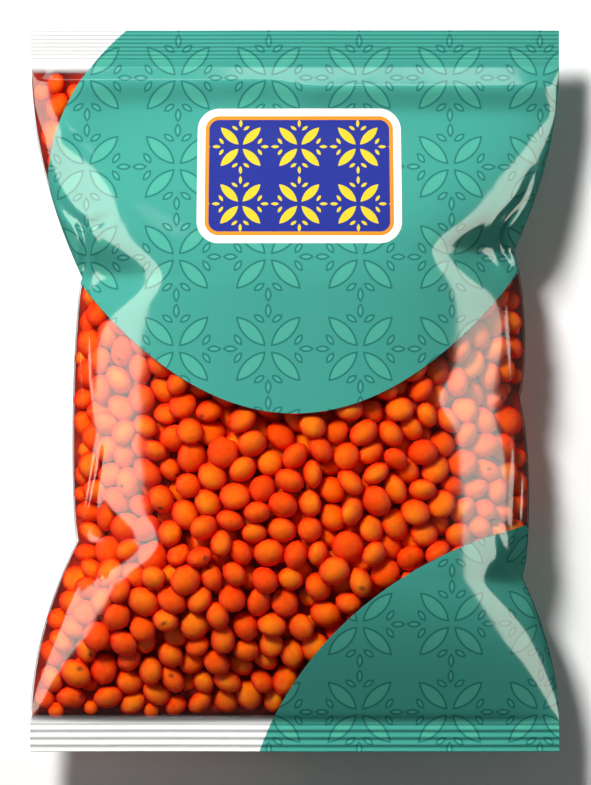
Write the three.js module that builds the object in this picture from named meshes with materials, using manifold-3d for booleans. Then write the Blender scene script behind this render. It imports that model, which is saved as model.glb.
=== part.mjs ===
// A clear film bag filled with whole red lentils, lying on its back with the printed front up.
// Millimetres, +Z up, +Y towards the bag's top. The origin is the middle of the flat patch it rests on.
import * as THREE from 'three';
import { mergeVertices } from 'three/addons/utils/BufferGeometryUtils.js';
import Module from 'manifold-3d';

// The film tube laid flat, and the crimped seal across each end
const BAG_WIDTH = 110;
const BAG_LENGTH = 150;
const TOP_SEAL = 7.5;
const BOTTOM_SEAL = 6.2;
const SEAL_HEIGHT = 14;
const SEAL_THICKNESS = 0.4;

// A seal starts a little way inside the pillow's end, and a hair narrower than it, so that they join
const SEAL_LAP = 0.2;
const SEAL_INSET = 0.05;

// The crimps: fine ones across the top seal, coarse ones across the bottom seal
const TOP_CRIMPS = { count: 8, depth: 0.2, margin: 1 };
const BOTTOM_CRIMPS = { count: 4, depth: 0.35, margin: 0 };
const STEPS_PER_CRIMP = 6;

// The filled pillow between the seals
const FILLED_DEPTH = 34;
const SIDE_HEIGHT = 13;
const BOTTOM_RUN = 40;
const EAR_POWER = 1.9;
const FILM_EDGE = 0.5;

// Under the top seal the bag stays nearly flat, and opens softly some way below it
const TOP_OPENING = { start: 7.5, softness: 3, run: 40 };

// The back is pressed flat by the load above it, and lifts off the surface in a soft curve
const BACK_PRESS = 2.5;
const LIFT_SOFTNESS = 2;

// The cross-section runs from flat and round-edged at the seals to a full, round pillow in the middle
const END_SECTION = { across: 7, rise: 0.55 };
const MIDDLE_SECTION = { across: 2.6, rise: 0.55 };
const MIDDLE_RUN = 46;

// Slack film stands in a roll across that flat part: its slope up from the seal, how wide that slope
// is on the left and on the right of the bag, and the length over which the roll falls off again
const ROLL = { slope: 0.85, left: 3.1, right: 4.4, fall: 6 };
const ROLL_WIDENS = { from: -6, to: 4 };

// Where each side buckles inwards: the place along the bag, the half width left there, and the share
// of its height that the film loses beside it, in a pocket that narrows and fades inwards
const LEFT_SIDE = {
  notches: [
    { y: 23.5, half: 44.2, pocket: 0.6 },
    { y: -31, half: 45.2, pocket: 0.5 },
  ],
  bulge: 1.5,
};
const RIGHT_SIDE = {
  notches: [
    { y: 28.7, half: 45.4, pocket: 0.6 },
    { y: -1.5, half: 46.5, pocket: 0.2 },
    { y: -38.5, half: 47.2, pocket: 0.5 },
  ],
  bulge: 1.9,
};
const POCKET_REACH = 0.6;
const POCKET_WIDTH = { inner: 3, outer: 7 };

// Fineness of the pillow's faces, and how much closer the rows lie near the seals
const COLUMNS = 36;
const ROWS = 56;
const ROW_CROWDING = 0.3;

const LENTIL_ORANGE = 0xe65a10;

const HALF_WIDTH = BAG_WIDTH / 2;
const TOP_INNER = BAG_LENGTH / 2 - TOP_SEAL;
const BOTTOM_INNER = BOTTOM_SEAL - BAG_LENGTH / 2;
const BODY_LENGTH = TOP_INNER - BOTTOM_INNER;
const BODY_MIDDLE = (TOP_INNER + BOTTOM_INNER) / 2;

const { clamp, lerp, smoothstep } = THREE.MathUtils;
const bell = (distance, width) => Math.exp(-((distance / width) ** 2));
const fromSeal = (y) => Math.min(TOP_INNER - y, y - BOTTOM_INNER);

// A length that starts at 0 and only grows steadily past the opening's start.
function pastOpening(fromTop) {
  const past = fromTop - TOP_OPENING.start;
  return (past + Math.hypot(past, TOP_OPENING.softness)) / 2;
}

// How far the bag has opened from flat at the seal, 0, to its full depth, 1.
function opened(y) {
  const risen = pastOpening(TOP_INNER - y) - pastOpening(0);
  const fromTop = clamp(risen / TOP_OPENING.run, 0, 1);
  const fromBottom = clamp((y - BOTTOM_INNER) / BOTTOM_RUN, 0, 1);
  return Math.sin((Math.PI / 2) * fromTop) * Math.sin((Math.PI / 2) * fromBottom);
}

// The flared ear beside a seal narrows from the full width to what the notch leaves.
function earHalfWidth(notch, toNotch) {
  return HALF_WIDTH - (HALF_WIDTH - notch.half) * clamp(toNotch, 0, 1) ** EAR_POWER;
}

// Half the width seen from above: an ear beside each seal, and bulges between the notches.
function halfWidth(side, y) {
  const first = side.notches[0];
  const last = side.notches[side.notches.length - 1];
  if (y >= first.y) return earHalfWidth(first, (TOP_INNER - y) / (TOP_INNER - first.y));
  if (y <= last.y) return earHalfWidth(last, (y - BOTTOM_INNER) / (last.y - BOTTOM_INNER));
  const next = side.notches.findIndex((notch) => notch.y < y);
  const [above, below] = side.notches.slice(next - 1, next + 1);
  const t = (above.y - y) / (above.y - below.y);
  return lerp(above.half, below.half, t) + side.bulge * Math.sqrt(Math.sin(Math.PI * t));
}

// The share of its height that the film keeps where the notches draw it in.
function pocketed(side, y, t) {
  const outward = smoothstep(t, POCKET_REACH, 1);
  const width = lerp(POCKET_WIDTH.inner, POCKET_WIDTH.outer, outward);
  let kept = 1;
  for (const notch of side.notches) kept -= notch.pocket * outward * bell(y - notch.y, width);
  return kept;
}

// Share of the full height at t, which runs from 0 in the middle to 1 at the side edge.
function section(side, y, t) {
  const full = smoothstep(fromSeal(y), 0, MIDDLE_RUN);
  const across = lerp(END_SECTION.across, MIDDLE_SECTION.across, full);
  const rise = lerp(END_SECTION.rise, MIDDLE_SECTION.rise, full);
  return (1 - t ** across) ** rise * pocketed(side, y, t);
}

// The height of the side edge, where front and back film meet.
const edgeHeight = (y) => lerp(SEAL_HEIGHT, SIDE_HEIGHT, opened(y));

function rolled(x, y) {
  const fromTop = TOP_INNER - y;
  const width = lerp(ROLL.left, ROLL.right, smoothstep(x, ROLL_WIDENS.from, ROLL_WIDENS.to));
  const kept = 1 - smoothstep(fromTop, width, width + ROLL.fall);
  return ROLL.slope * Math.min(fromTop, width * kept);
}

function frontHeight(side, y, t, x) {
  const crown = (FILLED_DEPTH - SIDE_HEIGHT) * opened(y) + rolled(x, y);
  return edgeHeight(y) + FILM_EDGE / 2 + crown * section(side, y, t);
}

function backHeight(side, y, t) {
  const edge = edgeHeight(y);
  const sag = (SIDE_HEIGHT + BACK_PRESS) * opened(y) * section(side, y, t);
  const lifted = Math.max(edge - sag, 0);
  const pressed = (lifted ** 2 / (lifted + LIFT_SOFTNESS)) * ((edge + LIFT_SOFTNESS) / edge);
  return Math.max(pressed - FILM_EDGE / 2, 0);
}

// A box whose front and back faces are pushed out to the film's shape.
function pillowGeometry() {
  const geometry = new THREE.BoxGeometry(1, 1, 1, COLUMNS, ROWS, 1);
  const points = geometry.getAttribute('position');
  for (let i = 0; i < points.count; i++) {
    const across = points.getX(i);
    const along = points.getY(i);
    const side = across < 0 ? LEFT_SIDE : RIGHT_SIDE;
    const t = Math.sin(Math.PI * Math.abs(across));
    const crowded = lerp(along, Math.sin(Math.PI * along) / 2, ROW_CROWDING);
    const y = BODY_MIDDLE + BODY_LENGTH * crowded;
    const x = Math.sign(across) * t * halfWidth(side, y);
    const height = points.getZ(i) > 0 ? frontHeight : backHeight;
    points.setXYZ(i, x, y, height(side, y, t, x));
  }
  return geometry;
}

// A strip of both films welded flat, pressed into crimps that run across the bag. It starts at its
// inner edge, y = 0, and runs outwards to y = length.
function crimpedSealGeometry(length, crimps) {
  const strip = length + SEAL_LAP;
  const width = BAG_WIDTH - 2 * SEAL_INSET;
  const rows = crimps.count * STEPS_PER_CRIMP;
  const geometry = new THREE.BoxGeometry(width, strip, SEAL_THICKNESS, 1, rows, 1);
  const points = geometry.getAttribute('position');
  const pitch = (length - crimps.margin) / crimps.count;
  for (let i = 0; i < points.count; i++) {
    const y = points.getY(i) + strip / 2 - SEAL_LAP;
    const crimped = smoothstep(y, crimps.margin, crimps.margin + pitch / 2);
    const wave = crimps.depth * crimped * Math.cos((2 * Math.PI * (length - y)) / pitch);
    points.setY(i, y);
    points.setZ(i, points.getZ(i) + wave);
  }
  return geometry;
}

const wasm = await Module();
wasm.setup();

// A closed geometry as a solid that can be joined to others.
function solidOf(geometry) {
  geometry.deleteAttribute('normal');
  geometry.deleteAttribute('uv');
  const merged = mergeVertices(geometry);
  return new wasm.Manifold(
    new wasm.Mesh({
      numProp: 3,
      vertProperties: merged.getAttribute('position').array,
      triVerts: new Uint32Array(merged.index.array),
    }),
  );
}

function geometryOf(solid) {
  const { vertProperties, triVerts } = solid.getMesh();
  const geometry = new THREE.BufferGeometry();
  geometry.setAttribute('position', new THREE.BufferAttribute(vertProperties, 3));
  geometry.setIndex(new THREE.BufferAttribute(triVerts, 1));
  geometry.computeVertexNormals();
  return geometry;
}

// The bag is one piece: the pillow and both seals are the same film.
function bagGeometry() {
  const topSeal = crimpedSealGeometry(TOP_SEAL, TOP_CRIMPS).translate(0, TOP_INNER, SEAL_HEIGHT);
  const bottomSeal = crimpedSealGeometry(BOTTOM_SEAL, BOTTOM_CRIMPS)
    .rotateZ(Math.PI)
    .translate(0, BOTTOM_INNER, SEAL_HEIGHT);
  const joined = solidOf(pillowGeometry()).add(solidOf(topSeal)).add(solidOf(bottomSeal));
  return geometryOf(joined);
}

const bag = new THREE.Mesh(
  bagGeometry(),
  new THREE.MeshStandardMaterial({ color: LENTIL_ORANGE, roughness: 0.25, metalness: 0 }),
);
bag.name = 'lentil_bag';

const part = new THREE.Group();
part.add(bag);
export default part;
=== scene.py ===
# A clear film bag of whole red lentils, lying on its back with the printed front up.
# Metres throughout, +Z up, +Y towards the bag's top seal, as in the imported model.
import math

import bpy
import numpy as np
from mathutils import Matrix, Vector
from mathutils.bvhtree import BVHTree


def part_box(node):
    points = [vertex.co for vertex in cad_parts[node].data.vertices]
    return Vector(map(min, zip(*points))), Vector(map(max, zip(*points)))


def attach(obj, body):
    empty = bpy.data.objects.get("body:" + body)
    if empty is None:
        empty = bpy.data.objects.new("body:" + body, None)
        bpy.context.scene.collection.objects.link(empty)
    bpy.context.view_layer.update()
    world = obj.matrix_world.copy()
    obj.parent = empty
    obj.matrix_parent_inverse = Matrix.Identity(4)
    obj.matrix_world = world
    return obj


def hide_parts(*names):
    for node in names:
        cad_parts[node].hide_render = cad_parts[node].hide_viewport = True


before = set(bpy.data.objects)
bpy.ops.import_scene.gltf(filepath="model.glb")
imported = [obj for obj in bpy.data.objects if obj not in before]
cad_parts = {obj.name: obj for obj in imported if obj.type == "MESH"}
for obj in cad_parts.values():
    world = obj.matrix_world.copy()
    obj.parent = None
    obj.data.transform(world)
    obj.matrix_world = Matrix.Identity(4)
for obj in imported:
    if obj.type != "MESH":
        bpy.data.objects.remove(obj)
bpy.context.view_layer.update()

bl_info = {
    "name": "Lentil Bag",
    "version": (1, 0, 0),
    "blender": (4, 5, 0),
    "location": "View3D > Sidebar > Lentil Bag",
    "description": "A clear pillow bag of red lentils with a printed film",
    "category": "Add Mesh",
}

MM = 0.001
SEED = 11

# The film tube laid flat, and the crimped seal across each end
BAG_LOW, BAG_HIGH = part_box("lentil_bag")
HALF_WIDTH = (BAG_HIGH[0] - BAG_LOW[0]) / 2
TOP_OUTER = BAG_HIGH[1]
BOTTOM_OUTER = BAG_LOW[1]
TOP_SEAL = 7.5 * MM
BOTTOM_SEAL = 6.2 * MM
SEAL_HEIGHT = 14 * MM
TOP_INNER = TOP_OUTER - TOP_SEAL
BOTTOM_INNER = BOTTOM_OUTER + BOTTOM_SEAL
TOP_CRIMPS = {"count": 8, "depth": 0.1 * MM, "margin": 1 * MM}
BOTTOM_CRIMPS = {"count": 4, "depth": 0.28 * MM, "margin": 0}
WELD_GAP = 0.1 * MM
WELD_DISTANCE = 0.001 * MM

# The filled pillow between the seals. Its section is given at the seals and in the middle.
FILLED_DEPTH = 34 * MM
SIDE_HEIGHT = 13 * MM
TOP_START = 7.5 * MM
TOP_SOFTNESS = 3 * MM
TOP_RUN = 40 * MM
BOTTOM_RUN = 40 * MM
EAR_POWER = 1.9
BACK_PRESS = 2.5 * MM
LIFT_SOFTNESS = 2 * MM
SECTION_POWER = (7, 2.6)
SECTION_RISE = (0.55, 0.55)
MIDDLE_RUN = 46 * MM

# The roll of slack film under the top seal: its slope, how wide that is on the left and on the right,
# where it widens between the two, and the length over which the roll falls off again
ROLL = {"slope": 0.9, "left": 3.1 * MM, "right": 4.4 * MM, "widens": (-6 * MM, 4 * MM), "fall": 7 * MM}

# Lentils push the film apart where it would be too thin for them: all along the bottom seal, and in
# the clear corner at the top left
PUFF = {"height": 0.9 * MM, "rise": 1 * MM, "fall": 8 * MM}
CORNER_PUFF = {"height": 3.4 * MM, "place": (-49 * MM, 58 * MM), "reach": 9 * MM, "rise": 2.5 * MM}

# Where each side buckles inwards: the place along the bag, the half width left there, the share of its
# height that the film loses beside it, and where between the middle, 0, and the edge, 1, that starts
LEFT_SIDE = {
    "notches": (
        (23.5 * MM, 44.2 * MM, 0.6, 0.6),
        (-31 * MM, 45.2 * MM, 0.5, 0.6),
    ),
    "bulge": 1.5 * MM,
}
RIGHT_SIDE = {
    "notches": (
        (28.7 * MM, 45.4 * MM, 0.6, 0.6),
        (-1.5 * MM, 46.5 * MM, 0.2, 0.6),
        (-38.5 * MM, 47.2 * MM, 0.5, 0.8),
    ),
    "bulge": 1.9 * MM,
}
POCKET_WIDTH = (3 * MM, 7 * MM)

# Creases in the front film beside the notches, in millimetres: the path that each valley follows,
# its depth and width, and the height of the lip of film that stands beside it
CREASES = (
    (((-51.5, 51), (-49, 46), (-45.5, 38), (-43, 28)), 1.6, 6.5, 0),
    (((49.8, 46), (47, 39.5), (43.2, 35.2), (41.9, 32), (43.4, 28.6), (45.5, 25)), 1.1, 0.9, 0.5),
    (((48.2, 36.5), (46.3, 33.5), (44.4, 33)), 0.5, 0.6, 0.25),
    (((-50, 41), (-47, 37), (-44.4, 34.8), (-43.2, 31.5), (-43.5, 27.5), (-43.8, 23)), 1, 0.9, 0.5),
    (((-44, 34.2), (-41, 34.4), (-38.2, 36)), 0.8, 0.9, 0.4),
    (((-46, 22), (-45.2, 16), (-44, 11), (-43.8, 2), (-42.7, -6)), 0.45, 0.5, 0.35),
    (((-44.9, -29.5), (-42.4, -24), (-41, -17), (-40, -10.5)), 0.6, 0.6, 0.4),
    (((-45, -31), (-41.4, -34.6), (-39.3, -38), (-38.9, -40)), 0.6, 0.7, 0.3),
    (((-45.4, -33), (-46.8, -40), (-50, -48)), 0.5, 0.8, 0.3),
    (((45.2, 22), (45.8, 12), (46.4, 4), (46.4, -1)), 0.5, 0.6, 0.35),
    (((46.4, -3), (46.9, -14), (46.3, -26), (47, -37)), 0.5, 0.6, 0.35),
    (((47, -38.5), (43.6, -34.5), (42, -29)), 0.7, 0.8, 0.35),
)

# How a crease fades towards its ends, and how far from its valley the lip stands, in its own widths
CREASE_END = 0.02
CREASE_FADE = 0.6
LIP_PLACE = 2

# Slow waves that keep the seals from being quite flat, and die out in the filled part. Each wave has
# a share of the height, a rate and a start.
SWAY = {"height": 0.35 * MM, "length": 16 * MM, "reach": 6 * MM}
SWAY_WAVES = ((1, 1, 0.6), (0.5, 2.3, 2))

# Fineness of the film's mesh
FILM_COLUMNS = 132
BODY_ROWS = 144
ROLL_LENGTH = 6 * MM
ROLL_ROWS = 20
ROWS_PER_TOP_CRIMP = 6
ROWS_PER_BOTTOM_CRIMP = 8

# The fin seal down the back: the film's two edges welded and folded flat. It keeps the film off the
# floor and lies below it, by these many times its own thickness.
FIN = {"width": 10 * MM, "offset": 4 * MM, "thickness": 0.12 * MM, "columns": 8}
FIN_RAISED = 2
FIN_DROP = 1.4

# How lentils lie in the bag: they fill a shell under the film, several deep, around a dark core of
# painted shade that reaches nearly to the bag's rim
SHELL_DEPTH = 8.5 * MM
PACKED_SHARE = 0.575
CORE_DEPTH = 7.5 * MM
CORE_INSET = 0.3 * MM
CORE_COLUMNS = 28
CORE_ROWS = 40

# How far the widths go below and above the mean, in spreads
WIDTH_LIMITS = (2.2, 2)

# Under the front film lentils lie up to this deep, most of them near the top, and are drawn up gently
SUNK = {"depth": 4 * MM, "power": 1.2}
PULL = 0.02 * MM
FILM_CLEARANCE = 0.15 * MM

# Rounds in which lentils grow and then settle, and how hard they and the film push and turn them
GROWTH = {"from": 0.55, "by": 0.45}
GROW_ROUNDS = 160
SETTLE_ROUNDS = 200
ROUNDS_PER_PAIRING = 8
PAIRING_REACH = 2.15
PUSH = 0.45
TURN = 1.2
FILM_PUSH = 2
FILM_TURN = 0.8

# The grid that tells how deep each place lies
FIELD_STEP = 1.5 * MM
FIELD_END = 1.001

# Lentils that still touch the film are moved in and shrunk a little, down to a smallest share
FIT_ROUNDS = 6
SHRINK = 0.4
SMALLEST = 0.7

# Lentils laid flat where the bag is thin, one size after the other
FILL_STEP = 0.6 * MM
FILL_OVERLAP = 0.88
FILL_THICKNESS = (2 * MM, 15 * MM)
FILL_SIZES = (0.95, 0.8, 0.66, 0.54)
SLANT = 0.7
TINY = 1e-9

# Each kind of lentil: its share of them all, and how it departs from the plain one
KINDS = {
    "lentils_plain": {"share": 0.5, "thicker": 1, "notch": 0},
    "lentils_notched": {"share": 0.32, "thicker": 0.97, "notch": 0.16},
    "lentils_plump": {"share": 0.18, "thicker": 1.1, "notch": 0},
}
LENTIL_SEGMENTS = 12
LENTIL_RINGS = 6
RIM_SHARPNESS = 0.52
NOTCH = {"width": 0.25, "start": 0.8}
UNEVEN = 0.035
ORDER_STEP = 1e-5

# The print, in millimetres on the film, from the middle of the bag
TOP_FIELD = {"low": -4.57, "bow": 0.0135}
CLEAR_CORNER = {"across": -6.4, "along": 40, "radius": 45.2}
LOW_PANEL = {"centre": (60.9, -99.2, 0), "radius": 72.4}
LATTICE = {"centre": (-5.4, 8.6), "pitch": 18.8, "line": 0.19}
# Each leaf of one motif, between arcs given by centre and radius, and the pitch they are drawn for
LEAF_PITCH = 19.15
LEAVES = (
    ((7.3, -0.064, 6.61),),
    ((-1.365, 7.9, 1.885),),
    ((1.256, 7.176, 1.57), (2.484, 5.424, 1.57)),
)
PLAQUE = {"centre": (0.94, 44.4), "half": (21, 14.2), "corner": 4.5, "line": (1.6, 2.4), "pitch": 12.1}
PRINT_EDGE = 0.05
SIDE_STEP = 100

SCAR_BROWN = "#7A3628"
# Painted shade: the dark reds of the core seen at the bottom of the gaps between lentils
PAINTED_SHADE_RED = "#C02808"
PAINTED_SHADE_DARK = "#6A0C06"
PAPER_WHITE = "#F4F4F2"

# The stage: places in metres from the middle of the bag
FLOOR_SIZE = 3
KEY = {"place": (-0.3, 0.45, 0.64), "size": (0.18, 0.18)}
SIDE_PANELS = {"across": 0.55, "height": 0.25, "size": (0.9, 0.46), "tint": (1, 0.94, 0.82)}
TOP_STRIP = {"place": (0, 0.6, 0.06), "size": (0.9, 0.11), "power": 0.76}
CAMERA = {"place": (0.16 * MM, -0.31 * MM, 1.01), "lens": 219.6}


def linear(colour):
    """An sRGB hex colour as the linear colour that shaders take."""
    parts = [int(colour[k : k + 2], 16) / 255 for k in (1, 3, 5)]
    parts = [part / 12.92 if part <= 0.04045 else ((part + 0.055) / 1.055) ** 2.4 for part in parts]
    return (*parts, 1)


def number_property(name, description, default, low, high, **settings):
    return bpy.props.FloatProperty(
        name=name, description=description, default=default, min=low, max=high, **settings
    )


def colour_property(name, colour):
    description = "Colour of the " + name.lower()
    return bpy.props.FloatVectorProperty(
        name=name, description=description, default=linear(colour), min=0, max=1, size=4, subtype="COLOR"
    )


class BagSizes(bpy.types.PropertyGroup):
    lentil_width: number_property(
        "Lentil width", "Mean width of a lentil", 6.2 * MM, 4 * MM, 8 * MM, unit="LENGTH", precision=4
    )
    lentil_flatness: number_property(
        "Lentil flatness", "Thickness of a lentil as a share of its width", 0.74, 0.4, 0.9
    )
    lentil_spread: number_property(
        "Lentil spread", "How much the lentils' widths differ, as a share of the mean", 0.07, 0, 0.2
    )


class BagColours(bpy.types.PropertyGroup):
    ground: colour_property("Printed fields", "#439C8D")
    leaf: colour_property("Printed leaves", "#4EA995")
    outline: colour_property("Leaf outlines", "#2C7871")
    plaque_edge: colour_property("Plaque edge", "#FAF9F6")
    plaque_line: colour_property("Plaque line", "#E2902B")
    plaque_field: colour_property("Plaque field", "#2B358C")
    plaque_leaf: colour_property("Plaque leaves", "#E4C536")
    lentil_deep: colour_property("Deepest lentils", "#F25404")
    lentil_pale: colour_property("Palest lentils", "#FB8A10")
    # Partly painted shade: the redder, darker colour mixed in at each lentil's rim
    lentil_skin_and_rim_shade: colour_property("Lentil edges", "#E82A04")


class StageSettings(bpy.types.PropertyGroup):
    key_power: number_property("Key light", "Power of the main light", 10, 0, 100, unit="POWER")
    side_power: number_property("Side panels", "Power of each panel", 5.2, 0, 100, unit="POWER")
    world_strength: number_property("Room light", "Strength of the light all round", 0.12, 0, 1)


def smooth(value, low, high):
    share = np.clip((value - low) / (high - low), 0, 1)
    return share * share * (3 - 2 * share)


def mix(first, second, share):
    return first + (second - first) * share


def bell(distance, width):
    return np.exp(-((distance / width) ** 2))


def by_side(x, rule, *places):
    """Works a rule out for the left or the right side of the bag, whichever each point lies on."""
    return np.where(x < 0, rule(LEFT_SIDE, *places), rule(RIGHT_SIDE, *places))


def from_seal(along):
    return np.clip(np.minimum(TOP_INNER - along, along - BOTTOM_INNER), 0, None)


def opened(along):
    """How far the bag has opened from flat at the seal, 0, to its full depth, 1."""
    past_start = TOP_INNER - along - TOP_START
    risen = (past_start + np.hypot(past_start, TOP_SOFTNESS)) / 2
    at_seal = (math.hypot(TOP_START, TOP_SOFTNESS) - TOP_START) / 2
    from_top = np.clip((risen - at_seal) / TOP_RUN, 0, 1)
    from_bottom = np.clip((along - BOTTOM_INNER) / BOTTOM_RUN, 0, 1)
    return np.sin(np.pi / 2 * from_top) * np.sin(np.pi / 2 * from_bottom)


def half_width(side, along):
    """Half the width seen from above: an ear beside each seal, and bulges between the notches."""
    notches = side["notches"]
    first, last = notches[0], notches[-1]
    top_share = np.clip((TOP_INNER - along) / (TOP_INNER - first[0]), 0, 1)
    bottom_share = np.clip((along - BOTTOM_INNER) / (last[0] - BOTTOM_INNER), 0, 1)
    top_ear = HALF_WIDTH - (HALF_WIDTH - first[1]) * top_share**EAR_POWER
    bottom_ear = HALF_WIDTH - (HALF_WIDTH - last[1]) * bottom_share**EAR_POWER
    width = np.where(along >= first[0], top_ear, bottom_ear)
    for above, below in zip(notches, notches[1:]):
        share = np.clip((above[0] - along) / (above[0] - below[0]), 0, 1)
        bulged = mix(above[1], below[1], share) + side["bulge"] * np.sqrt(np.sin(np.pi * share))
        width = np.where((along < above[0]) & (along > below[0]), bulged, width)
    return width


def pocketed(side, along, across):
    """The share of its height that the film keeps where the notches draw it in."""
    kept = 1
    for place, _, pocket, start in side["notches"]:
        outward = smooth(across, start, 1)
        width = mix(*POCKET_WIDTH, outward)
        kept = kept - pocket * outward * bell(along - place, width)
    return kept


def section(side, along, across):
    """Share of the full height at across, which runs from 0 in the middle to 1 at the side edge."""
    full = smooth(from_seal(along), 0, MIDDLE_RUN)
    power = mix(*SECTION_POWER, full)
    rise = mix(*SECTION_RISE, full)
    return np.clip(1 - across**power, 0, 1) ** rise * pocketed(side, along, across)


def edge_height(along):
    return mix(SEAL_HEIGHT, SIDE_HEIGHT, opened(along))


def rolled(x, along):
    """The height of the roll of slack film under the top seal, which is wider on the right."""
    from_top = np.clip(TOP_INNER - along, 0, None)
    place = mix(ROLL["left"], ROLL["right"], smooth(x, *ROLL["widens"]))
    falling = 1 - smooth(from_top, place, place + ROLL["fall"])
    return ROLL["slope"] * np.minimum(from_top, place * falling)


def puffed(x, along):
    """How far the lentils push the front film up, and the back film down, in the thin parts."""
    inside = np.clip(along - BOTTOM_INNER, 0, None)
    puff = PUFF["height"] * (1 - np.exp(-inside / PUFF["rise"])) * np.exp(-inside / PUFF["fall"])
    inside = np.clip(TOP_INNER - along, 0, None)
    from_corner = np.hypot(x - CORNER_PUFF["place"][0], along - CORNER_PUFF["place"][1])
    corner = CORNER_PUFF["height"] * bell(from_corner, CORNER_PUFF["reach"])
    return puff + corner * (1 - np.exp(-inside / CORNER_PUFF["rise"]))


def front_height(side, along, across, x):
    crown = (FILLED_DEPTH - SIDE_HEIGHT) * opened(along) + rolled(x, along) + puffed(x, along)
    return edge_height(along) + crown * section(side, along, across)


def back_height(side, along, across, x):
    """The back is pressed flat by the load above it, and lifts off the surface in a soft curve."""
    edge = edge_height(along)
    sag = (SIDE_HEIGHT + BACK_PRESS) * opened(along) + puffed(x, along)
    sag = sag * section(side, along, across)
    lifted = np.clip(edge - sag, 0, None)
    return lifted**2 / (lifted + LIFT_SOFTNESS) * (edge + LIFT_SOFTNESS) / edge


def distance_to_path(x, y, path):
    """The nearest distance from each point to a path, and how far along the path that is."""
    nearest = np.full(x.shape, np.inf)
    share = np.zeros(x.shape)
    for step, (start, end) in enumerate(zip(path, path[1:])):
        run_x, run_y = end[0] - start[0], end[1] - start[1]
        along = ((x - start[0]) * run_x + (y - start[1]) * run_y) / (run_x**2 + run_y**2)
        along = np.clip(along, 0, 1)
        distance = np.hypot(x - start[0] - along * run_x, y - start[1] - along * run_y)
        closer = distance < nearest
        nearest = np.where(closer, distance, nearest)
        share = np.where(closer, (step + along) / (len(path) - 1), share)
    return nearest, share


def creased(x, y):
    """How far the creases move the front film up or down."""
    x, y = x / MM, y / MM
    moved = np.zeros(x.shape)
    for path, depth, width, lip in CREASES:
        distance, share = distance_to_path(x, y, path)
        fade = np.sin(np.pi * np.clip(share, CREASE_END, 1 - CREASE_END)) ** CREASE_FADE
        raised = lip * bell(distance - LIP_PLACE * width, width)
        moved += fade * (raised - depth * bell(distance, width))
    return moved * MM


def crimp_wave(along):
    """The height of the crimps pressed across both seals."""
    wave = np.zeros(along.shape)
    ends = (
        (TOP_CRIMPS, TOP_SEAL, along - TOP_INNER),
        (BOTTOM_CRIMPS, BOTTOM_SEAL, BOTTOM_INNER - along),
    )
    for crimps, length, out in ends:
        pitch = (length - crimps["margin"]) / crimps["count"]
        pressed = smooth(out, crimps["margin"], crimps["margin"] + pitch / 2)
        turns = (length - out) / pitch
        wave = wave + crimps["depth"] * pressed * np.cos(2 * np.pi * turns) * (out > 0)
    return wave


def sway(x, along):
    near_end = np.exp(-from_seal(along) / SWAY["reach"])
    slow = sum(share * np.sin(rate * x / SWAY["length"] + start) for share, rate, start in SWAY_WAVES)
    return SWAY["height"] * near_end * slow


def film_height(x, along, front):
    """The height of the front or the back film, before its creases."""
    reach = np.clip(np.abs(x) / by_side(x, half_width, along), 0, 1)
    height = by_side(x, front_height if front else back_height, along, reach, x)
    return height + crimp_wave(along) + sway(x, along)


def under_film(x, along, offset=0):
    """The height of the back film, which the fin seal keeps clear of the floor."""
    return np.clip(film_height(x, along, False) - offset, FIN["thickness"] * FIN_RAISED, None)


def film_rows():
    """Where the rows of the film's mesh lie along the bag, close together over the crimps and the roll.
    The plain margin inside the top crimps has as many rows as a crimp."""
    parts = (
        (BOTTOM_OUTER, BOTTOM_INNER, BOTTOM_CRIMPS["count"] * ROWS_PER_BOTTOM_CRIMP),
        (BOTTOM_INNER, TOP_INNER - ROLL_LENGTH, BODY_ROWS),
        (TOP_INNER - ROLL_LENGTH, TOP_INNER, ROLL_ROWS),
        (TOP_INNER, TOP_OUTER, (TOP_CRIMPS["count"] + 1) * ROWS_PER_TOP_CRIMP),
    )
    rows = [np.linspace(start, end, count + 1)[1:] for start, end, count in parts]
    return np.concatenate([[BOTTOM_OUTER], *rows])


def points_of(mesh):
    points = np.empty(len(mesh.vertices) * 3)
    mesh.vertices.foreach_get("co", points)
    return points.reshape(-1, 3)


def set_points(mesh, points):
    mesh.vertices.foreach_set("co", np.ascontiguousarray(points, dtype=np.float32).ravel())
    mesh.update()


def select_only(*things):
    bpy.ops.object.select_all(action="DESELECT")
    for thing in things:
        thing.select_set(True)
    bpy.context.view_layer.objects.active = things[0]


def named(piece, name):
    piece.name = name
    piece.data.name = name
    return piece


def add_grid(columns, rows):
    """A flat grid, with the column and the row that each of its points belongs to."""
    bpy.ops.object.select_all(action="DESELECT")
    bpy.ops.mesh.primitive_grid_add(x_subdivisions=columns, y_subdivisions=rows, size=1)
    grid = bpy.context.object
    points = points_of(grid.data)
    column = np.rint((points[:, 0] + 0.5) * columns).astype(int)
    row = np.rint((points[:, 1] + 0.5) * rows).astype(int)
    return grid, column, row


def edit_faces(operator, **settings):
    """Runs an operator on all faces of the active piece."""
    bpy.ops.object.mode_set(mode="EDIT")
    bpy.ops.mesh.select_all(action="SELECT")
    operator(**settings)
    bpy.ops.object.mode_set(mode="OBJECT")


def flip_faces(piece):
    select_only(piece)
    edit_faces(bpy.ops.mesh.flip_normals)


def store_film_place(mesh, across, along, front):
    """Stores each point's place on the print, in millimetres across and along, with 1 on the front
    sheet and -1 on the back."""
    values = np.column_stack([across / MM, along / MM, np.full(len(along), 1 if front else -1)])
    attribute = mesh.attributes.new("film_place", "FLOAT_VECTOR", "POINT")
    attribute.data.foreach_set("vector", values.astype(np.float32).ravel())


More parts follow.
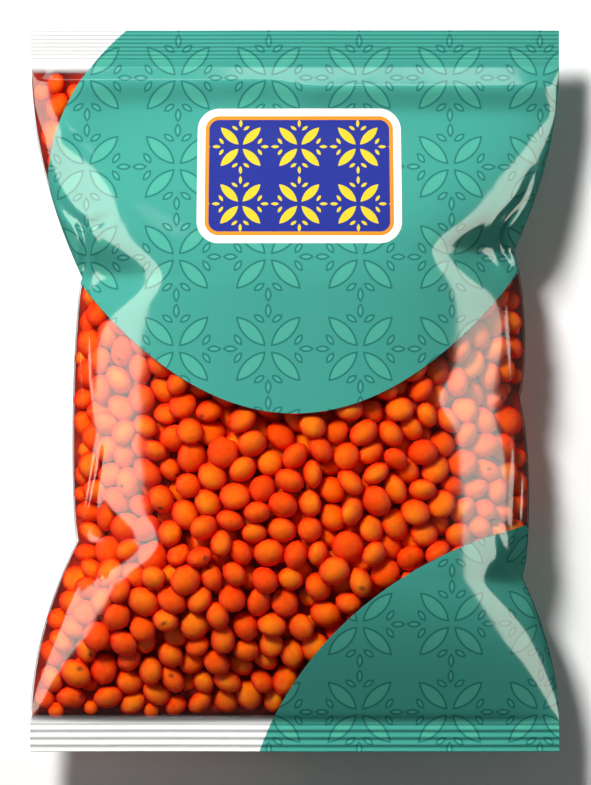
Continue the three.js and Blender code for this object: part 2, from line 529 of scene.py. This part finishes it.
def place_across(x, height, front, edges):
    """How far across the print each place lies, over a grid of rows and columns. The print isn't
    stretched where the film turns down at the sides. The back starts where the front ends."""
    step_x = np.abs(np.diff(x, axis=1))
    step_z = np.abs(np.diff(height, axis=1))
    step = np.hypot(step_x, np.clip(step_z - step_x, 0, None) if front else step_z)
    middle = x.shape[1] // 2
    place = np.zeros(x.shape)
    place[:, middle + 1 :] = np.cumsum(step[:, middle:], axis=1)
    place[:, :middle] = -np.cumsum(step[:, :middle][:, ::-1], axis=1)[:, ::-1]
    if edges is not None:
        place[:, middle:] += edges[:, 1:] - place[:, -1:]
        place[:, :middle] += edges[:, :1] - place[:, :1]
    return place


def pillow_grid(columns, rows, inset):
    """A flat grid over the bag, with where its points lie across and along it, and which are on its
    rim."""
    sheet, column, row = add_grid(columns, len(rows) - 1)
    across = np.sin(np.pi * (column / columns - 0.5))
    along = rows[row]
    x = across * (by_side(across, half_width, along) - inset)
    on_rim = (column == 0) | (column == columns) | (row == 0) | (row == len(rows) - 1)
    return sheet, column, row, x, along, on_rim


def film_sheet(front, edges=None):
    """One side of the film: a grid laid over the bag. Gives it and the print's place at its sides."""
    rows = film_rows()
    sheet, column, row, x, along, on_rim = pillow_grid(FILM_COLUMNS, rows, 0)
    weld = np.where(on_rim, 0, WELD_GAP / 2)
    if front:
        height = film_height(x, along, True) + weld + np.where(on_rim, 0, creased(x, along))
    else:
        height = under_film(x, along, weld)
    set_points(sheet.data, np.column_stack([x, along, height]))
    order = np.lexsort((column, row))
    shape = (len(rows), FILM_COLUMNS + 1)
    place = place_across(x[order].reshape(shape), height[order].reshape(shape), front, edges)
    spread = np.empty(len(x))
    spread[order] = place.ravel()
    store_film_place(sheet.data, spread, along, front)
    if not front:
        flip_faces(sheet)
    return sheet, place[:, [0, -1]]


def welded(name, front, back):
    """Joins two sheets along their rim into one closed piece."""
    select_only(front, back)
    bpy.ops.object.join()
    edit_faces(bpy.ops.mesh.remove_doubles, threshold=WELD_DISTANCE)
    bpy.ops.object.shade_smooth()
    return named(bpy.context.object, name)


def film_bag():
    front, edges = film_sheet(True)
    back, _ = film_sheet(False, edges)
    return welded("film_bag", front, back)


def fin_strip():
    """The fin seal: a strip that hugs the back film from seal to seal."""
    rows = film_rows()
    strip, column, row = add_grid(FIN["columns"], len(rows) - 1)
    x = FIN["width"] * (column / FIN["columns"] - 0.5) + FIN["offset"]
    along = rows[row]
    back = under_film(x, along, WELD_GAP / 2)
    set_points(strip.data, np.column_stack([x, along, back - FIN["thickness"] * FIN_DROP]))
    store_film_place(strip.data, x, along, False)
    flip_faces(strip)
    wall = strip.modifiers.new("wall", "SOLIDIFY")
    wall.thickness = FIN["thickness"]
    wall.offset = 0
    bpy.ops.object.modifier_apply(modifier=wall.name)
    bpy.ops.object.shade_smooth()
    return named(strip, "fin_seal")


def core_sheet(front):
    rows = np.linspace(BOTTOM_INNER + CORE_INSET, TOP_INNER - CORE_INSET, CORE_ROWS + 1)
    sheet, _, _, x, along, on_rim = pillow_grid(CORE_COLUMNS, rows, CORE_INSET)
    high, low = film_height(x, along, True) + creased(x, along), film_height(x, along, False)
    half = np.clip((high - low) / 2 - CORE_DEPTH, WELD_GAP / 2, None) * ~on_rim
    set_points(sheet.data, np.column_stack([x, along, (high + low) / 2 + half * (1 if front else -1)]))
    if not front:
        flip_faces(sheet)
    return sheet


def core_pillow():
    """A smaller pillow inside the lentils, coloured as painted shade: seen only as the dark at the
    bottom of the gaps.
    """
    return welded("painted_shade_core", core_sheet(True), core_sheet(False))


def film_gap(points):
    """How far each point lies inside the film, measured straight up or down."""
    x, along, height = points.T
    under_front = film_height(x, along, True) + creased(x, along) - height
    over_back = height - under_film(x, along)
    return np.minimum(under_front, over_back)


def in_bag(points):
    x, along, _ = points.T
    filled = (along > BOTTOM_INNER) & (along < TOP_INNER) & (np.abs(x) < by_side(x, half_width, along))
    return filled & (film_gap(points) > 0)


class DepthField:
    """How deep each place in the bag lies under the film, and which way is deeper, read off a grid."""

    def __init__(self, film):
        points = points_of(film.data)
        faces = [tuple(face.vertices) for face in film.data.polygons]
        surface = BVHTree.FromPolygons(points.tolist(), faces)
        self.low = points.min(axis=0) - FIELD_STEP
        self.shape = np.ceil((points.max(axis=0) - self.low) / FIELD_STEP).astype(int) + 2
        axes = [self.low[k] + FIELD_STEP * np.arange(self.shape[k]) for k in range(3)]
        self.places = np.stack(np.meshgrid(*axes, indexing="ij"), axis=-1).reshape(-1, 3)
        near = np.array([surface.find_nearest(place)[3] for place in self.places.tolist()])
        self.depth = near * np.where(in_bag(self.places), 1, -1)
        grid = self.depth.reshape(self.shape)
        self.values = np.stack([grid, *np.gradient(grid, FIELD_STEP)], axis=-1)

    def at(self, points):
        """Depth and the unit direction towards deeper places, by linear interpolation."""
        place = np.clip((points - self.low) / FIELD_STEP, 0, self.shape - FIELD_END)
        corner = place.astype(int)
        share = place - corner
        found = 0
        for offset in np.ndindex(2, 2, 2):
            weight = np.prod(np.where(offset, share, 1 - share), axis=1)
            i, j, k = (corner + offset).T
            found = found + weight[:, None] * self.values[i, j, k]
        return found[:, 0], unit(found[:, 1:])


def unit(vectors):
    return vectors / np.maximum(np.linalg.norm(vectors, axis=1, keepdims=True), TINY)


def dot(first, second):
    return np.einsum("ij,ij->i", first, second)


def close_pairs(centres, reach):
    """The pairs of lentils whose centres lie within reach of each other."""
    squares = (centres**2).sum(axis=1)
    apart = squares[:, None] + squares[None, :] - 2 * centres @ centres.T
    return np.nonzero(np.triu(apart < reach**2, 1))


def contact(between, first_axis, second_axis, reach, flatness):
    """The distance at which two flat ellipsoids touch, and how it changes as either one turns."""
    shape = (flatness**2 - 1) / (flatness**2 + 1)
    a, b, c = dot(between, first_axis), dot(between, second_axis), dot(first_axis, second_axis)
    plus, minus = (a + b) / (1 + shape * c), (a - b) / (1 - shape * c)
    inner = 1 - shape / 2 * ((a + b) * plus + (a - b) * minus)
    touching = reach * inner**-0.5
    change = -0.5 * reach * inner**-1.5
    by_a = change * -shape * (plus + minus)
    by_b = change * -shape * (plus - minus)
    by_c = change * shape**2 / 2 * (plus**2 - minus**2)
    first_turn = by_a[:, None] * between + by_c[:, None] * second_axis
    second_turn = by_b[:, None] * between + by_c[:, None] * first_axis
    return touching, first_turn, second_turn


def gathered(rows, values, count):
    """Sums the values that belong to each lentil."""
    return np.stack([np.bincount(rows, values[:, k], count) for k in range(3)], axis=1)


def pack_lentils(field, sizes, random):
    """Lets lentils grow and push each other apart until they fill the shell under the film. Gives
    their centres, the directions of their flat axes, and their radii."""
    width, flatness, spread = sizes.lentil_width, sizes.lentil_flatness, sizes.lentil_spread
    half_thickness = flatness * width / 2
    in_shell = (field.depth > 0) & (field.depth < SHELL_DEPTH + half_thickness)
    lentil_volume = math.pi / 6 * width**3 * flatness
    count = int(PACKED_SHARE * in_shell.sum() * FIELD_STEP**3 / lentil_volume)
    starts = field.places[(field.depth > half_thickness / 2) & (field.depth < SHELL_DEPTH)]
    centres = starts[random.choice(len(starts), count, replace=False)]
    centres = centres + random.uniform(-0.5, 0.5, (count, 3)) * FIELD_STEP
    axes = unit(random.normal(size=(count, 3)))
    smallest, largest = 1 - WIDTH_LIMITS[0] * spread, 1 + WIDTH_LIMITS[1] * spread
    full_radii = width / 2 * np.clip(random.normal(1, spread, count), smallest, largest)
    clearance = SUNK["depth"] * random.uniform(0, 1, count) ** SUNK["power"]
    for number in range(GROW_ROUNDS + SETTLE_ROUNDS):
        radii = full_radii * min(1, GROWTH["from"] + GROWTH["by"] * number / GROW_ROUNDS)
        if number % ROUNDS_PER_PAIRING == 0:
            first, second = close_pairs(centres, PAIRING_REACH * full_radii.max())
        between = centres[second] - centres[first]
        apart = np.linalg.norm(between, axis=1)
        between = between / apart[:, None]
        reach = radii[first] + radii[second]
        touching, first_turn, second_turn = contact(between, axes[first], axes[second], reach, flatness)
        overlap = np.clip(touching - apart, 0, None)[:, None]
        move = gathered(second, overlap * between, count) - gathered(first, overlap * between, count)
        turn = gathered(first, overlap * first_turn, count)
        turn += gathered(second, overlap * second_turn, count)
        deep, inward = field.at(centres)
        facing = dot(inward, axes)
        half = radii * np.sqrt(1 - (1 - flatness**2) * facing**2)
        sunk = clearance * np.clip(-inward[:, 2], 0, 1) ** 2
        short = np.clip(half + FILM_CLEARANCE + sunk - deep, -PULL, None)[:, None]
        slope = radii**2 * (flatness**2 - 1) * facing / half
        move += FILM_PUSH * short * inward
        turn += FILM_TURN * short * slope[:, None] * inward
        move -= np.clip(deep - SHELL_DEPTH, 0, None)[:, None] * inward
        centres = centres + PUSH * move
        axes = unit(axes - TURN * PUSH / width**2 * turn)
    return fill_thin_parts(centres, axes, full_radii, flatness, random)


def thin_places(random):
    """Places halfway between front and back film where the bag is thin, and the direction across it."""
    x = np.arange(-HALF_WIDTH, HALF_WIDTH, FILL_STEP)
    along = np.arange(BOTTOM_INNER, TOP_INNER, FILL_STEP)
    x, along = (grid.ravel() for grid in np.meshgrid(x, along))

    def middle(x, along):
        return (film_height(x, along, True) + film_height(x, along, False)) / 2

    thickness = film_height(x, along, True) - film_height(x, along, False)
    thin = (thickness > FILL_THICKNESS[0]) & (thickness < FILL_THICKNESS[1])
    x, along = x[thin], along[thin]
    slope_x = (middle(x + FILL_STEP, along) - middle(x - FILL_STEP, along)) / (2 * FILL_STEP)
    slope_y = (middle(x, along + FILL_STEP) - middle(x, along - FILL_STEP)) / (2 * FILL_STEP)
    order = random.permutation(len(x))
    places = np.column_stack([x, along, middle(x, along)])
    return places[order], unit(np.column_stack([-slope_x, -slope_y, np.ones(len(x))]))[order]


def flat_lentil_fits(places, axes, radius, flatness):
    """Whether a lentil that lies flat, halfway between front and back film, is clear of both."""
    first = unit(np.cross(axes, [0, 1, 0]))
    second = np.cross(axes, first)
    fits = np.ones(len(places), bool)
    for turn in np.arange(0, 2 * np.pi, np.pi / 4):
        for out, up in ((1, 0), (SLANT, SLANT * flatness), (SLANT, -SLANT * flatness)):
            point = places + radius * (out * (np.cos(turn) * first + np.sin(turn) * second) + up * axes)
            inside = (point[:, 1] > BOTTOM_INNER) & (point[:, 1] < TOP_INNER)
            fits &= inside & (film_gap(point) > FILM_CLEARANCE / 2)
    return fits


def fill_thin_parts(centres, axes, radii, flatness, random):
    """Lays more lentils flat where the bag is thin and no other is in the way, the larger first."""
    places, across = thin_places(random)
    mean, widest = radii.mean(), radii.max()
    for size in FILL_SIZES:
        radius = mean * size
        fits = flat_lentil_fits(places, across, radius, flatness)
        for place, axis in zip(places[fits], across[fits]):
            apart = np.linalg.norm(centres - place, axis=1)
            near = np.nonzero(apart < radius + widest)[0]
            between = (centres[near] - place) / np.maximum(apart[near], TINY)[:, None]
            own_axes = np.tile(axis, (len(near), 1))
            touching, _, _ = contact(between, own_axes, axes[near], radius + radii[near], flatness)
            if (apart[near] > FILL_OVERLAP * touching).all():
                centres = np.vstack([centres, place])
                axes = np.vstack([axes, axis])
                radii = np.append(radii, radius)
    return centres, axes, radii


def in_set_order(points, faces):
    """Sorts points and faces by where they lie, because a new sphere's come in no set order."""
    order = np.lexsort(np.rint(points.T / ORDER_STEP))
    rank = np.argsort(order).tolist()
    faces = [[rank[corner] for corner in face] for face in faces]
    starts = [face.index(min(face)) for face in faces]
    return points[order], sorted(face[start:] + face[:start] for face, start in zip(faces, starts))


def lentil_template(thicker, notch, flatness):
    """One lentil of radius 1: two shallow domes that meet in a rounded rim, with a notch in the rim
    where the seed was joined to its pod. Gives its points, its faces and how scarred each point is."""
    bpy.ops.object.select_all(action="DESELECT")
    bpy.ops.mesh.primitive_uv_sphere_add(segments=LENTIL_SEGMENTS, ring_count=LENTIL_RINGS, radius=1)
    seed = bpy.context.object
    faces = [tuple(face.vertices) for face in seed.data.polygons]
    points, faces = in_set_order(points_of(seed.data), faces)
    out = np.hypot(points[:, 0], points[:, 1])
    dome = np.clip(1 - out**2, 0, 1) ** RIM_SHARPNESS
    points[:, 2] = np.sign(points[:, 2]) * dome * flatness * thicker
    turn = np.arctan2(points[:, 1], points[:, 0])
    at_notch = bell(turn, NOTCH["width"]) * smooth(out, NOTCH["start"], 1)
    points[:, :2] *= (1 - notch * at_notch)[:, None]
    bpy.data.objects.remove(seed)
    return points, faces, at_notch * (notch > 0)


def turned_frames(axes, random):
    """For each lentil, three directions at right angles, with its flat axis last."""
    first = unit(np.cross(random.normal(size=axes.shape), axes))
    return np.stack([first, np.cross(axes, first), axes], axis=1)


def fitted_lentils(points, field, centres, axes, radii, random):
    """Every lentil's points, each a little uneven. One that touches the film moves inwards, shrinks a
    little if that isn't enough, and is left out where the bag is too thin for it."""
    count = len(centres)
    stretch = random.normal(1, UNEVEN, (count, 1, 3))
    lean = random.normal(0, UNEVEN, (count, 1, 3))
    shaped = points[None] * stretch * (1 + (points[None] * lean).sum(axis=2, keepdims=True))
    turned = radii[:, None, None] * np.einsum("nvk,nkx->nvx", shaped, turned_frames(axes, random))
    size = np.ones(count)
    for _ in range(FIT_ROUNDS):
        placed = centres[:, None] + size[:, None, None] * turned
        gap = film_gap(placed.reshape(-1, 3)).reshape(count, -1).min(axis=1)
        short = np.clip(FILM_CLEARANCE / 2 - gap, 0, None)
        _, inward = field.at(centres)
        centres = centres + short[:, None] * inward
        size = size * (1 - SHRINK * short / radii)
    kept = (size > SMALLEST) & (gap > -FILM_CLEARANCE)
    return placed[kept]


def lentil_piece(name, template, field, centres, axes, radii, random):
    """All lentils of one kind as one joined mesh."""
    points, faces, scar = template
    placed = fitted_lentils(points, field, centres, axes, radii, random)
    count = len(placed)
    sizes = np.tile([len(face) for face in faces], count)
    corners = np.concatenate(faces)[None] + len(points) * np.arange(count)[:, None]
    mesh = bpy.data.meshes.new(name)
    mesh.vertices.add(count * len(points))
    mesh.loops.add(corners.size)
    mesh.polygons.add(len(sizes))
    mesh.loops.foreach_set("vertex_index", corners.ravel().astype(np.int32))
    mesh.polygons.foreach_set("loop_start", (np.cumsum(sizes) - sizes).astype(np.int32))
    set_points(mesh, placed.reshape(-1, 3))
    mesh.validate()
    mesh.shade_smooth()
    tone = np.repeat(random.uniform(0, 1, count), len(points))
    for attribute, values in (("tone", tone), ("scar", np.tile(scar, count))):
        stored = mesh.attributes.new(attribute, "FLOAT", "POINT")
        stored.data.foreach_set("value", values.astype(np.float32))
    piece = bpy.data.objects.new(name, mesh)
    bpy.context.collection.objects.link(piece)
    return piece


def new_material(name):
    """A material with no nodes yet, and the function that adds them. It takes a node's kind and
    operation, and its inputs in order or by key, as values or sockets. It gives the output asked for."""
    material = bpy.data.materials.new(name)
    material.use_nodes = True
    tree = material.node_tree
    tree.nodes.clear()

    def add_node(kind, inputs=(), output=0, **settings):
        kind, _, operation = kind.partition(" ")
        node = tree.nodes.new("ShaderNode" + kind)
        if operation:
            node.operation = operation
        for name, value in settings.items():
            setattr(node, name, value)
        for key, value in inputs.items() if isinstance(inputs, dict) else enumerate(inputs):
            if isinstance(value, bpy.types.NodeSocket):
                tree.links.new(value, node.inputs[key])
            else:
                node.inputs[key].default_value = value
        return node.outputs[output] if len(node.outputs) else None

    return material, add_node


def lentil_material(colours):
    """Skinned lentil: a dry, fine-grained seed, matt, redder where it is shaded, and redder and darker
    at its edge, partly from its skin and partly as painted shade.
    """
    material, node = new_material("skinned_lentil")
    tone = node("Attribute", output="Fac", attribute_name="tone")
    scar = node("Attribute", output="Fac", attribute_name="scar")
    place = node("TexCoord", output="Object")
    toned = node("Mix", {0: tone, 6: colours.lentil_deep, 7: colours.lentil_pale}, 2, data_type="RGBA")
    # Blotches about 1.5 mm across, a quarter of a lentil
    blotches = node("TexNoise", {"Vector": place, "Scale": 1 / (1.5 * MM), "Detail": 2})
    blotched = node("MapRange", [blotches, 0.3, 0.7, 0.9, 1.08])
    toned = node("Mix", {0: 1, 6: toned, 7: blotched}, 2, data_type="RGBA", blend_type="MULTIPLY")
    # Redder and darker the more slantwise it is seen: partly the skin hiding more of the paler flesh,
    # partly painted shade at the rim
    glance = node("LayerWeight", {"Blend": 0.5}, "Facing")
    rim_shade_share = node("MapRange", [glance, 0, 0.65])
    toned = node("Mix", {0: rim_shade_share, 6: toned, 7: colours.lentil_skin_and_rim_shade}, 2, data_type="RGBA")
    scarred = node("MapRange", [scar, 0.45, 0.95])
    toned = node("Mix", {0: scarred, 6: toned, 7: linear(SCAR_BROWN)}, 2, data_type="RGBA")
    # Starchy grain 0.15 mm across
    grain = node("TexNoise", {"Vector": place, "Scale": 1 / (0.15 * MM), "Detail": 3})
    rough = node("Bump", {"Strength": 0.3, "Distance": 0.04 * MM, "Height": grain})
    # Red light sinks deepest into the seed, so that its shaded side glows red
    sunk = {"Subsurface Weight": 1, "Subsurface Radius": (1, 0.06, 0.02), "Subsurface Scale": 1.2 * MM}
    skin = {"Base Color": toned, "Roughness": 0.7, "Specular IOR Level": 0.2, "Normal": rough}
    node("OutputMaterial", [node("BsdfPrincipled", {**skin, **sunk})])
    return material


def painted_shade_material():
    """Painted shade for the inside of the heap: the same seeds, coloured as dark as where hardly any
    light gets in.
    """
    material, node = new_material("painted_shade_lentils")
    place = node("TexCoord", output="Object")
    # Seeds 6 mm across, each with painted shade darkening it towards its rim
    seeds = node("TexVoronoi", {"Vector": place, "Scale": 1 / (6 * MM)})
    shade = node("MapRange", [seeds, 0, 0.7])
    colour = node("Mix", {0: shade, 6: linear(PAINTED_SHADE_RED), 7: linear(PAINTED_SHADE_DARK)}, 2, data_type="RGBA")
    surface = node("BsdfPrincipled", {"Base Color": colour, "Roughness": 0.9})
    node("OutputMaterial", [surface])
    return material


def printed_depth(node, place):
    """How far each place lies inside the printed fields, in millimetres."""
    across, along, _ = node("SeparateXYZ", [place]).node.outputs
    bow = node("Math MULTIPLY", [across, across])
    above = node("Math MULTIPLY_ADD", [bow, -TOP_FIELD["bow"], along])
    above = node("Math SUBTRACT", [above, TOP_FIELD["low"]])
    shift = (CLEAR_CORNER["across"], -CLEAR_CORNER["along"], 0)
    corner = node("VectorMath MULTIPLY_ADD", [place, (-1, 1, 0), shift])
    corner = node("VectorMath MAXIMUM", [corner, (0, 0, 0)])
    corner = node("VectorMath LENGTH", [corner], "Value")
    beside = node("Math SUBTRACT", [CLEAR_CORNER["radius"], corner])
    top = node("Math MINIMUM", [above, beside])
    from_centre = node("VectorMath DISTANCE", [place, LOW_PANEL["centre"]], "Value")
    low = node("Math SUBTRACT", [LOW_PANEL["radius"], from_centre])
    return node("Math MAXIMUM", [top, low])


def leaf_distance(node, place, centre, pitch):
    """Distance to the nearest leaf of a four-leaf lattice, in millimetres, negative inside it. The
    lattice is folded eight ways, so that one eighth of a motif is enough."""
    scale = LEAF_PITCH / pitch
    shift = (-centre[0] * scale, -centre[1] * scale, 0)
    scaled = node("VectorMath MULTIPLY_ADD", [place, (scale, scale, 0), shift])
    across, along, _ = node("SeparateXYZ", [scaled]).node.outputs
    across = node("Math PINGPONG", [across, LEAF_PITCH / 2])
    along = node("Math PINGPONG", [along, LEAF_PITCH / 2])
    near = node("Math MINIMUM", [across, along])
    far = node("Math MAXIMUM", [across, along])
    spot = node("CombineXYZ", [near, far, 0])
    nearest = LEAF_PITCH
    for arcs in LEAVES:
        leaf = -LEAF_PITCH
        for x, y, radius in arcs:
            reach = node("VectorMath DISTANCE", [spot, (x, y, 0)], "Value")
            outside = node("Math SUBTRACT", [reach, radius])
            leaf = node("Math MAXIMUM", [leaf, outside])
        nearest = node("Math MINIMUM", [nearest, leaf])
    return node("Math MULTIPLY", [nearest, 1 / scale])


def plaque_distance(node, stored):
    """Distance to the plaque's rim, in millimetres, negative inside. The back sheet is set far off, so
    that only the front has a plaque."""
    apart = node("VectorMath MULTIPLY", [stored, (1, 1, SIDE_STEP)])
    centred = node("VectorMath SUBTRACT", [apart, (*PLAQUE["centre"], SIDE_STEP)])
    folded = node("VectorMath ABSOLUTE", [centred])
    inner = (PLAQUE["half"][0] - PLAQUE["corner"], PLAQUE["half"][1] - PLAQUE["corner"], 0)
    beyond = node("VectorMath SUBTRACT", [folded, inner])
    beyond = node("VectorMath MAXIMUM", [beyond, (0, 0, 0)])
    beyond = node("VectorMath LENGTH", [beyond], "Value")
    return node("Math SUBTRACT", [beyond, PLAQUE["corner"]])


def ink_colour(node, stored, place, colours):
    """The print's colours, laid over each other in the order in which they are printed."""
    leaf = leaf_distance(node, place, LATTICE["centre"], LATTICE["pitch"])
    line = node("Math ABSOLUTE", [leaf])
    line = node("Math SUBTRACT", [line, LATTICE["line"]])
    rim = plaque_distance(node, stored)
    line_outer = node("Math ADD", [rim, PLAQUE["line"][0]])
    line_inner = node("Math ADD", [rim, PLAQUE["line"][1]])
    across, along = PLAQUE["centre"]
    motif = leaf_distance(node, place, (across, along + PLAQUE["pitch"] / 2), PLAQUE["pitch"])
    motif = node("Math MAXIMUM", [motif, line_inner])
    layers = (
        (leaf, colours.leaf),
        (line, colours.outline),
        (rim, colours.plaque_edge),
        (line_outer, colours.plaque_line),
        (line_inner, colours.plaque_field),
        (motif, colours.plaque_leaf),
    )
    ink = colours.ground
    for distance, colour in layers:
        laid = node("MapRange", [distance, PRINT_EDGE, -PRINT_EDGE])
        ink = node("Mix", {0: laid, 6: ink, 7: colour}, 2, data_type="RGBA")
    return ink


def film_material(colours):
    """Clear polypropylene film, printed on its inner face: glassy gloss over ink, see-through where it
    is bare, and milky where it is crimped and welded."""
    material, node = new_material("printed_clear_film")
    stored = node("Attribute", output="Vector", attribute_name="film_place")
    place = node("VectorMath MULTIPLY", [stored, (1, 1, 0)])
    along = node("SeparateXYZ", [place], "Y")
    ink = node("BsdfDiffuse", [ink_colour(node, stored, place, colours)])
    past_top = node("Math SUBTRACT", [along, TOP_INNER / MM])
    past_bottom = node("Math SUBTRACT", [BOTTOM_INNER / MM, along])
    welded = node("Math MAXIMUM", [past_top, past_bottom])
    # The weld is milky from 1.6 mm inside its edge
    milky = node("MapRange", [welded, -1.6, 0.2, 0, 0.9])
    white = node("BsdfDiffuse", [linear(PAPER_WHITE)])
    clear = node("MixShader", [milky, node("BsdfTransparent"), white])
    printed = node("MapRange", [printed_depth(node, place), -PRINT_EDGE, PRINT_EDGE])
    base = node("MixShader", [printed, clear, ink])
    # Both faces of the film reflect, about 8% seen straight on and all of it at a glance
    facing = node("LayerWeight", {"Blend": 0.5}, "Facing")
    glance = node("Math POWER", [facing, 5])
    reflected = node("Math MULTIPLY_ADD", [glance, 0.92, 0.08])
    # Slack in the film, in waves about 7 mm long
    waves = node("TexNoise", {"Vector": place, "Scale": 1 / 7, "Detail": 1})
    slack = node("Bump", {"Strength": 1, "Distance": 0.1 * MM, "Height": waves})
    gloss = node("BsdfGlossy", {"Color": (1, 1, 1, 1), "Roughness": 0.13, "Normal": slack})
    node("OutputMaterial", [node("MixShader", [reflected, base, gloss])])
    return material


def paper_material():
    """Matt studio paper: an even, pale ground that takes a soft shadow."""
    material, node = new_material("studio_paper")
    place = node("TexCoord", output="Object")
    # Paper fibres 0.5 mm across
    fibres = node("TexNoise", {"Vector": place, "Scale": 1 / (0.5 * MM), "Detail": 2})
    rough = node("Bump", {"Strength": 0.1, "Distance": 0.02 * MM, "Height": fibres})
    surface = node("BsdfDiffuse", {"Color": linear(PAPER_WHITE), "Normal": rough})
    node("OutputMaterial", [surface])
    return material


def soft_light(name, place, target, size, power, tint=(1, 1, 1), matt=True, gloss=True):
    bpy.ops.object.light_add(type="AREA", location=place)
    light = named(bpy.context.object, name)
    light.data.shape = "RECTANGLE"
    light.data.size, light.data.size_y = size
    light.data.energy = power
    light.data.color = tint
    light.rotation_euler = (Vector(target) - Vector(place)).to_track_quat("-Z", "Y").to_euler()
    light.visible_camera = False
    light.visible_diffuse = matt
    light.visible_glossy = gloss


def finish_piece(piece, material):
    """Gives a piece its finish, and has it ride with the bag and stand for the plain solid."""
    piece.data.materials.clear()
    piece.data.materials.append(material)
    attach(piece, "root")
    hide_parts("lentil_bag")


class LENTILBAG_OT_film(bpy.types.Operator):
    """Make the printed clear film, welded into a bag"""

    bl_idname = "lentilbag.film"
    bl_label = "Film Bag"

    def execute(self, context):
        finish_piece(film_bag(), film_material(context.scene.bag_colours))
        return {"FINISHED"}


class LENTILBAG_OT_fin_seal(bpy.types.Operator):
    """Make the fin seal down the back of the bag"""

    bl_idname = "lentilbag.fin_seal"
    bl_label = "Fin Seal"

    def execute(self, context):
        finish_piece(fin_strip(), bpy.data.objects["film_bag"].data.materials[0])
        return {"FINISHED"}


class LENTILBAG_OT_core(bpy.types.Operator):
    """Make the dark core of painted shade that the lentils lie around"""

    bl_idname = "lentilbag.core"
    bl_label = "Core"

    def execute(self, context):
        finish_piece(core_pillow(), painted_shade_material())
        return {"FINISHED"}


class LENTILBAG_OT_lentils(bpy.types.Operator):
    """Pack the bag with lentils, one piece for each kind"""

    bl_idname = "lentilbag.lentils"
    bl_label = "Lentils"

    def execute(self, context):
        sizes = context.scene.bag_sizes
        random = np.random.default_rng(SEED)
        field = DepthField(bpy.data.objects["film_bag"])
        centres, axes, radii = pack_lentils(field, sizes, random)
        shares = [kind["share"] for kind in KINDS.values()]
        chosen = random.choice(len(KINDS), len(centres), p=shares)
        material = lentil_material(context.scene.bag_colours)
        for number, (name, kind) in enumerate(KINDS.items()):
            template = lentil_template(kind["thicker"], kind["notch"], sizes.lentil_flatness)
            own = chosen == number
            piece = lentil_piece(name, template, field, centres[own], axes[own], radii[own], random)
            finish_piece(piece, material)
        return {"FINISHED"}


class LENTILBAG_OT_stage(bpy.types.Operator):
    """Set up the floor, the soft lights and the camera above the bag"""

    bl_idname = "lentilbag.stage"
    bl_label = "Stage"

    def execute(self, context):
        settings = context.scene.bag_stage
        bpy.ops.mesh.primitive_plane_add(size=FLOOR_SIZE)
        floor = named(context.object, "floor")
        floor.data.materials.append(paper_material())
        floor.visible_glossy = False
        soft_light("key", KEY["place"], (0, 0, 0), KEY["size"], settings.key_power, gloss=False)
        for name, side in (("left_panel", -1), ("right_panel", 1)):
            place = (side * SIDE_PANELS["across"], 0, SIDE_PANELS["height"])
            level = (0, 0, SIDE_PANELS["height"])
            size, tint = SIDE_PANELS["size"], SIDE_PANELS["tint"]
            soft_light(name, place, level, size, settings.side_power, tint, matt=False)
        place, size, power = TOP_STRIP.values()
        soft_light("top_strip", place, (0, 0, place[2]), size, power, matt=False)
        world = bpy.data.worlds.new("soft_room")
        world.use_nodes = True
        background = world.node_tree.nodes["Background"]
        background.inputs["Strength"].default_value = settings.world_strength
        background.inputs["Color"].default_value = (1, 1, 1, 1)
        world.cycles_visibility.glossy = False
        context.scene.world = world
        bpy.ops.object.camera_add(location=CAMERA["place"], rotation=(0, 0, 0))
        camera = named(context.object, "camera")
        camera.data.lens = CAMERA["lens"]
        context.scene.camera = camera
        context.scene.view_settings.view_transform = "Standard"
        return {"FINISHED"}


GROUPS = {"bag_sizes": BagSizes, "bag_colours": BagColours, "bag_stage": StageSettings}
OPERATORS = (
    LENTILBAG_OT_film,
    LENTILBAG_OT_fin_seal,
    LENTILBAG_OT_core,
    LENTILBAG_OT_lentils,
    LENTILBAG_OT_stage,
)


class LENTILBAG_PT_panel(bpy.types.Panel):
    """Lists the bag's pieces, sizes and colours"""

    bl_idname = "LENTILBAG_PT_panel"
    bl_label = "Lentil Bag"
    bl_space_type = "VIEW_3D"
    bl_region_type = "UI"
    bl_category = "Lentil Bag"

    def draw(self, context):
        for operator in OPERATORS:
            self.layout.operator(operator.bl_idname)
        for scene_name, group in GROUPS.items():
            box = self.layout.box()
            for name in group.__annotations__:
                box.prop(getattr(context.scene, scene_name), name)


CLASSES = (*GROUPS.values(), *OPERATORS, LENTILBAG_PT_panel)


def register():
    for cls in CLASSES:
        bpy.utils.register_class(cls)
    for name, group in GROUPS.items():
        setattr(bpy.types.Scene, name, bpy.props.PointerProperty(type=group))


def unregister():
    for name in GROUPS:
        delattr(bpy.types.Scene, name)
    for cls in reversed(CLASSES):
        bpy.utils.unregister_class(cls)


def main():
    register()
    bpy.ops.lentilbag.film()
    bpy.ops.lentilbag.fin_seal()
    bpy.ops.lentilbag.core()
    bpy.ops.lentilbag.lentils()
    bpy.ops.lentilbag.stage()


if __name__ == "__main__":
    main()
